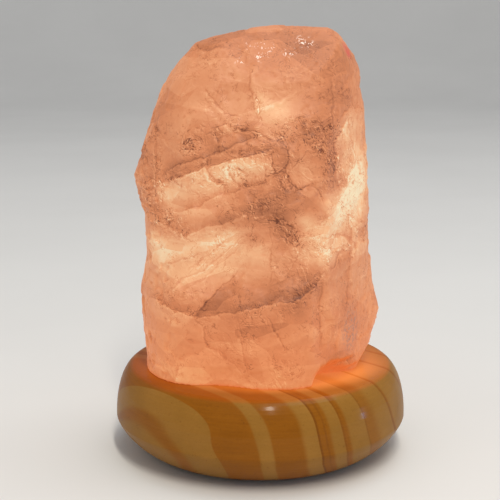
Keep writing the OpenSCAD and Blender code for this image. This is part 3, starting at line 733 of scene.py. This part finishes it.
def lumps(points, size, octaves=3):
    """Soft noise from about -1 to 1 at each point, with lumps of that size in millimetres."""
    return np.array([noise.fractal(Vector(p) / size, 0.8, 2.0, octaves) for p in points.tolist()])


def shaken(points, size, much):
    """The points, each moved a little at random, so that what is drawn on them is uneven."""
    return points + much * np.stack([lumps(points + shift, size) for shift in (50, 90, 130)], 1)


def beside(points, line):
    """How far each point is from a drawn line, how far to the left of it as one walks along it on
    the stone, and how far in from its ends. Depth counts for less, so that the line stays a line
    where the skin bends away under it."""
    flat = np.array((1, DEPTH_COUNTS, 1))
    outward = points * (1, 1, 0)
    outward /= np.linalg.norm(outward, axis=1)[:, None]
    nearest = np.full(len(points), 1e9)
    left, inward = np.zeros(len(points)), np.zeros(len(points))
    corners = np.array(line, float) * flat
    lengths = np.linalg.norm(corners[1:] - corners[:-1], axis=1)
    total, gone = lengths.sum(), 0
    for a, b, length in zip(corners[:-1], corners[1:], lengths):
        t = np.clip((points * flat - a) @ (b - a) / length ** 2, 0, 1)
        gap = points * flat - (a + t[:, None] * (b - a))
        away = np.linalg.norm(gap, axis=1)
        closer = away < nearest
        nearest = np.where(closer, away, nearest)
        sideways = (gap * np.cross(outward, (b - a) / length)).sum(1)
        left = np.where(closer, sideways, left)
        inward = np.where(closer, np.minimum(gone + t * length, total - gone - t * length), inward)
        gone += length
    return nearest, left, inward


def shards(points, tips):
    """The nearest shard's number at each point, the way to its middle, and the distance by which
    the next one is farther."""
    tree = kdtree.KDTree(len(tips))
    for index, tip in enumerate(tips):
        tree.insert(tip, index)
    tree.balance()
    number = np.empty(len(points), int)
    margin = np.empty(len(points))
    for i, point in enumerate(points.tolist()):
        (_, first, near), (_, _, far) = tree.find_n(point, 2)
        number[i], margin[i] = first, far - near
    return number, points - np.array(tips)[number], margin


def blob(points, middle, size):
    """1 in the middle of an oval region and 0 at its edge and beyond."""
    return 1 - soft(np.linalg.norm((points - np.array(middle)) / np.array(size), axis=1), 0.3, 1.0)


floor_of_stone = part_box("rose_quartz_stone")[0].z / MM
stone = rough_block(floor_of_stone)
remesh = stone.modifiers.new("even_skin", "REMESH")
remesh.mode, remesh.voxel_size = "VOXEL", SKIN_MESH * MM
apply_all(stone)

# Every face splits into long plates that slant as the ledges do and, where the rock is crumbly,
# into small shards, each tilted its own way. Steps along a plate count for less than steps across
# it, which makes the plates long and flat.
along_plates = np.array(((0.55 * math.cos(SLANT), 0, -math.sin(SLANT)), (0, 0.7, 0),
                         (0.55 * math.sin(SLANT), 0, math.cos(SLANT))))
dice = np.random.default_rng(4)
skin = points_of(stone, "co") / MM
plate_tips = (skin[dice.choice(len(skin), PLATES, replace=False)] @ along_plates).tolist()
shard_tips = skin[dice.choice(len(skin), SHARDS, replace=False)].tolist()
plate_tilt = dice.normal(0, 0.035, (PLATES, 3))
shard_tilt = dice.normal(0, 0.2, (SHARDS, 3))
plate_glow = dice.normal(0, 0.028, PLATES)


def broken_face(points):
    """At each point: how far the broken skin stands out, how brightly the painted light of the bulb
    shines through, how crumbly the rock is, how far it is to the left of the nearest ledge or
    crack, and how much of a line that makes."""
    uneven = shaken(points, 10, 1.2)
    ragged = shaken(points, 2.5, 0.4)
    height, light, crumble = np.zeros((3, len(points)))
    # Of the nearest line: how far it is, how far the point lies to its left, and how dark it is
    nearest = np.outer((9.0, 0, 0), np.ones(len(points)))
    # At a ledge the rock steps out and runs back to the face round it. The step gets a painted
    # highlight, painted shade gathers beside it, and the rock crumbles along it.
    for line, stands_out, to_left, to_right, dark in LEDGES:
        away, left, inward = beside(uneven + ragged - points, line)
        taper = soft(inward, -1, 7)
        step = stands_out * taper * (0.5 - soft(left, -0.5, 0.6))
        height += 0.7 * step * np.exp(-away / 5)
        light += 0.12 * step * np.exp(-away / 6)
        reach = np.where(left > 0, to_left, to_right)
        light -= dark * np.exp(-away / reach) * (0.3 + 0.7 * taper)
        crumble += 1.2 * abs(dark) * np.exp(-(away / 3.5) ** 2)
        nearest = np.where(away < nearest[0], (away, left, 4 * abs(dark) * taper), nearest)
    for line, dark in CRACKS:
        away, left, inward = beside(uneven + ragged - points, line)
        taper = soft(inward, -1, 3)
        height -= 0.3 * dark * taper * np.exp(-(away / 0.8) ** 2)
        nearest = np.where(away < nearest[0], (away, left, dark * taper), nearest)
    for line, wide, much, broken in VEILS:
        here = np.exp(-(beside(uneven, line)[0] / wide) ** 2)
        light += much * here
        crumble += broken * here
    # Crumbly rock comes in lumps, with a few more anywhere
    small = lumps(points, 5)
    crumble = np.clip(crumble * (0.7 + 0.9 * small) + 0.12 * soft(small, 0.2, 0.8), 0, 1)
    plate, from_plate, plate_gap = shards((ragged + 1.6 * (uneven - points)) @ along_plates,
                                          plate_tips)
    shard, from_shard, _ = shards(ragged, shard_tips)
    height += (from_plate * plate_tilt[plate]).sum(1) * soft(plate_gap, 0, 1.5)
    height += (from_shard * shard_tilt[shard]).sum(1) * (0.06 + 0.94 * crumble)
    # Nicks along the edges, deepest at the left
    nicks = lumps(points + 300, 8)
    at_left = soft(-points[:, 0], 36, 46)
    height += 0.35 * small * (0.4 + crumble) - (0.45 + 0.6 * at_left) * soft(nicks, 0.26, 0.36)
    light += plate_glow[plate] * soft(plate_gap, 0, 0.5) + 0.03 * soft(nicks, 0.26, 0.4)
    # Broad clouds in the painted light, and more of it at the foot
    light += 0.04 * lumps(points, 24) + 0.06 * (1 - soft(points[:, 2], 41, 46))
    away, side, line_dark = nearest
    return height, light, crumble, side, line_dark * (1 - soft(away, 1.2, 2.6))


# The skin moves in or out by the relief, but stays under the top of the CAD block, and flat on
# the sawn underside, which no point may sink below
height = broken_face(skin)[0]
free = soft(skin[:, 2], floor_of_stone + 0.4, floor_of_stone + 3)
relief = MOST_RELIEF * np.tanh(height / MOST_RELIEF) * free
moved = skin + points_of(stone, "normal") * relief[:, None]
level = np.minimum(moved[:, 2], cad_box[1][2] / MM - 0.05)
moved[:, 2] = np.where(level < floor_of_stone + FLAT_EDGE, floor_of_stone + 0.02, level)
stone.data.vertices.foreach_set("co", (moved * MM).astype(np.float32).ravel())
stone.data.update()

combine(stone, bore_plug(BORE_WIDE, floor_of_stone - 2, BORE_TOP), "DIFFERENCE")

# What the shader reads: the painted light that comes through, and where the rock crumbles. Sharp
# edges get painted highlights and creases painted shade: a point's crest is its height over an
# evened-out skin.
skin, facing = points_of(stone, "co") / MM, points_of(stone, "normal")
edges = np.empty(len(stone.data.edges) * 2, np.int64)
stone.data.edges.foreach_get("vertices", edges)
edges = edges.reshape(-1, 2)
count = np.bincount(edges.ravel(), minlength=len(skin))[:, None]
even = skin
for _ in range(4):
    total = np.zeros_like(even)
    np.add.at(total, edges[:, 0], even[edges[:, 1]])
    np.add.at(total, edges[:, 1], even[edges[:, 0]])
    even = total / count
crest = ((skin - even) * facing).sum(1)
_, light, crumble, side, line_dark = broken_face(skin)
glow = PLAIN_GLOW + light + np.clip(crest, -0.5, 0.5) * 0.2
# A painted glow of the lit wood shines back at the foot, most of all where the skin faces down
ember = np.maximum(soft(-facing[:, 2], 0.3, 0.8) * (1 - soft(skin[:, 2], 48, 60)),
                   0.7 * (1 - soft(skin[:, 2] - floor_of_stone, 0.2, 1.8)))
for_shader = {"glow": glow, "crumble": crumble,
              "glints": sum(blob(skin, spot, GLINT_SIZE) for spot in GLINTS),
              "grey": blob(skin, *GREY_PATCH), "ember": ember, "blush": blob(skin, *RED_GLINT),
              "side": side / SIDE_REACH + 0.5, "line_dark": line_dark}
for name, values in for_shader.items():
    layer = stone.data.attributes.new(name, "FLOAT", "POINT")
    layer.data.foreach_set("value", np.clip(values, 0, 1).astype(np.float32))
only(stone)
bpy.ops.object.shade_smooth_by_angle(angle=math.radians(38))


def rose_quartz():
    material, shader, place = begin("rose_quartz", IOR=1.54, Specular_IOR_Level=0.3,
                                    Emission_Strength=1.0)
    glow, crumble, glints, grey, ember, blush, side, line_dark = [
        place.node("Attribute", "Fac", {"attribute_name": name}) for name in for_shader]
    x, _, z = place.axes()
    fine = place.grain(1.4, detail=6, rough=0.7)
    cloud = place.grain(9, detail=4, warp=0.5)
    # Clear plates lie over one another inside, each a little darker or paler, with straight edges
    leant = place.mapped(Rotation=(0, math.radians(20), 0.4), Scale=(0.5, 0.6, 1))
    crossed = place.mapped(Rotation=(0.3, math.radians(-48), 0), Scale=(0.45, 0.6, 1))
    plates = [way.node("TexVoronoi", 1, None, {"Vector": way, "Scale": 1 / (size * MM)})
              .axes()[0] - 0.5 for way, size in ((leant, 11), (crossed, 17))]
    # Ledges and cracks end in a thin ragged line of painted shade, with a painted highlight on the
    # clear rock to the right of it
    off = (side - 0.5) * SIDE_REACH + (place.grain(1.8, detail=4, rough=0.6) - 0.5) * 1.8
    line = (1 - abs(off).step(0.05, 0.4)) * 0.2 - abs(off + 0.75).step(0.5, 0.1) * 0.1
    line = line * line_dark
    # Chips in the skin have a painted lit rim and a painted shaded rim, as the bulb is behind them
    beyond = place.mapped(Location=(0.25 * MM, 0, 0.35 * MM))
    chips = [here.grain(7, detail=3, rough=0.55, warp=1.6).step(0.47, 0.53)
             for here in (place, beyond)]
    crumbs = [here.grain(2.8, detail=3, rough=0.6, warp=1.2).step(0.46, 0.54)
              for here in (place, beyond)]
    broken = place.grain(15, detail=2).step(0.46, 0.64)
    rims = ((chips[1] - chips[0]) * (broken * 0.11 + crumble * 0.3)
            + (crumbs[1] - crumbs[0]) * (broken * 0.03 + crumble * 0.3))
    # Hairline cracks run in curls round the crumbly rock, and straight up and down at the right
    curl = place.grain(4.2, detail=4, rough=0.55, warp=1.3) - 0.5
    hair = 1 - abs(curl).step(0.004, 0.022)
    hair = hair * place.grain(9, detail=2).step(0.5, 0.58) * (0.42 + crumble * 1.4)
    fleck = place.grain(2.4, detail=5, rough=0.6, warp=0.8).step(0.61, 0.66)
    upright = place.grain(1.1, detail=5, rough=0.6, stretch=(1, 1, 0.16)) - 0.5
    right = x.step(24 * MM, 40 * MM)
    # All that adds to the painted light that comes through, or takes from it, and the colours it
    # has then; both the base colour and the emission carry it
    light = (glow + (fine - 0.5) * (0.09 + crumble * 0.25) + (cloud - 0.5) * 0.14
             + plates[0] * 0.13 + plates[1] * 0.10 + upright * right * 0.35 + rims - hair * 0.46
             - fleck * (0.09 + crumble * 0.28) - line * 1.25)
    look = light.ramp((0.0, srgb(120, 66, 44)), (0.22, srgb(170, 104, 70)),
                      (0.5, srgb(219, 141, 98)), (0.68, srgb(236, 165, 121)),
                      (0.84, srgb(250, 194, 148)), (1.0, srgb(254, 236, 200)))
    # The painted light is redder near the foot, where it comes through more rock, and a painted
    # orange glow of the lit wood lies on the edge that rests on it
    low = 1 - z.step(45 * MM, 95 * MM)
    look = low.mix(look, look.tint(solid((1.08, 0.9, 0.735))))
    look = (ember * 0.65).mix(look, solid(srgb(242, 120, 50)))
    # A painted red glint at the top right edge, and a grey patch low on the right
    look = (blush * cloud.step(0.35, 0.6) * 0.9).mix(look, solid(srgb(226, 98, 88)))
    look = (grey * fine.step(0.42, 0.62) * 0.6).mix(look, solid(srgb(158, 128, 124)))
    # Painted highlights: warm white glints in the emission at those spots
    painted_glints = glints * place.grain(1.7, detail=3, rough=0.6, warp=1.0).step(0.58, 0.62)
    join(shader, Base_Color=look.tint(solid((0.38, 0.35, 0.32))),
         Roughness=0.34 + fine * 0.3,
         Normal=fine.bump(0.12, (cloud + curl * 0.3).bump(0.5)),
         Emission_Color=painted_glints.mix(look.tint(solid((0.58, 0.565, 0.545))),
                                  solid((1.0, 0.86, 0.74))))
    return material


stone.data.materials.clear()
stone.data.materials.append(rose_quartz())
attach(stone, "stone")
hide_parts("rose_quartz_stone")


# Floor, lights and camera
# A pale sheet that curves up behind the lamp, three soft boxes and a pale surround. A tall box in
# front draws the highlight on the wood, and a small bluish one the glint at the right. The camera
# stands where the photograph was taken from.

def backdrop():
    """A sheet of paper, 6 m wide, whose far edge is drawn up by 3 m in a wide round bend."""
    bpy.ops.object.select_all(action="DESELECT")
    bpy.ops.mesh.primitive_plane_add(size=6, location=(0, 0, 0))
    sheet = bpy.context.object
    sheet.name = "floor"
    bpy.ops.object.mode_set(mode="EDIT")
    bpy.ops.mesh.select_all(action="DESELECT")
    bpy.ops.object.mode_set(mode="OBJECT")
    for vertex in sheet.data.vertices:
        vertex.select = vertex.co.y > 0
    for edge in sheet.data.edges:
        edge.select = all(sheet.data.vertices[v].select for v in edge.vertices)
    bpy.ops.object.mode_set(mode="EDIT")
    bpy.ops.mesh.extrude_region_move(TRANSFORM_OT_translate={"value": (0, 0, 3)})
    bpy.ops.object.mode_set(mode="OBJECT")
    corner = sheet.modifiers.new("corner", "BEVEL")
    corner.width, corner.segments = 1.2, 24
    apply_all(sheet)
    bpy.ops.object.shade_smooth()
    material, shader, place = begin("pale_paper", Roughness=0.9, Specular_IOR_Level=0.1)
    join(shader, Base_Color=place.grain(300).ramp((0.3, (0.74, 0.74, 0.74)),
                                                  (0.7, (0.78, 0.78, 0.78))))
    sheet.data.materials.append(material)


MIDDLE = Vector((0, 0, 0.08))     # what the soft boxes are aimed at


def soft_box(name, at, size, power, colour=(1, 1, 1)):
    """A lamp behind a sheet of that width and height."""
    lamp = bpy.data.lights.new(name, "AREA")
    lamp.shape, lamp.size, lamp.size_y, lamp.energy = "RECTANGLE", *size, power
    lamp.color = colour
    box = bpy.data.objects.new(name, lamp)
    box.location = at
    box.rotation_euler = (MIDDLE - Vector(at)).to_track_quat("-Z", "Y").to_euler()
    bpy.context.scene.collection.objects.link(box)


backdrop()
soft_box("front_box", (0.13, -0.75, 1.15), (0.09, 0.7), 8.5, (1.0, 0.93, 0.8))
soft_box("right_box", (1.1, -0.12, 0.1), (0.04, 0.08), 0.8, (0.2, 0.5, 1.0))
soft_box("high_box", (0.35, 0.2, 1.6), (1.2, 1.2), 8)

world = bpy.data.worlds.new("surround")
bpy.context.scene.world = world
world.use_nodes = True
surround = world.node_tree.nodes["Background"]
surround.inputs["Color"].default_value = (0.93, 0.93, 0.92, 1)
surround.inputs["Strength"].default_value = 0.5

# The lens and the place are those that put the outlines of base and stone where the photograph
# has them
PHOTO_PIXELS, FOCAL_PIXELS = 500, 1200
SENSOR = 36
LOOKS_DOWN = 11.79
lens = bpy.data.cameras.new("camera")
lens.sensor_width = SENSOR
lens.lens = FOCAL_PIXELS / PHOTO_PIXELS * SENSOR
camera = bpy.data.objects.new("camera", lens)
camera.location = (-0.0048, -0.5377, 0.2049)
camera.rotation_euler = (math.radians(90 - LOOKS_DOWN), 0, 0)
bpy.context.scene.collection.objects.link(camera)
bpy.context.scene.camera = camera
bpy.context.scene.view_settings.view_transform = "Standard"
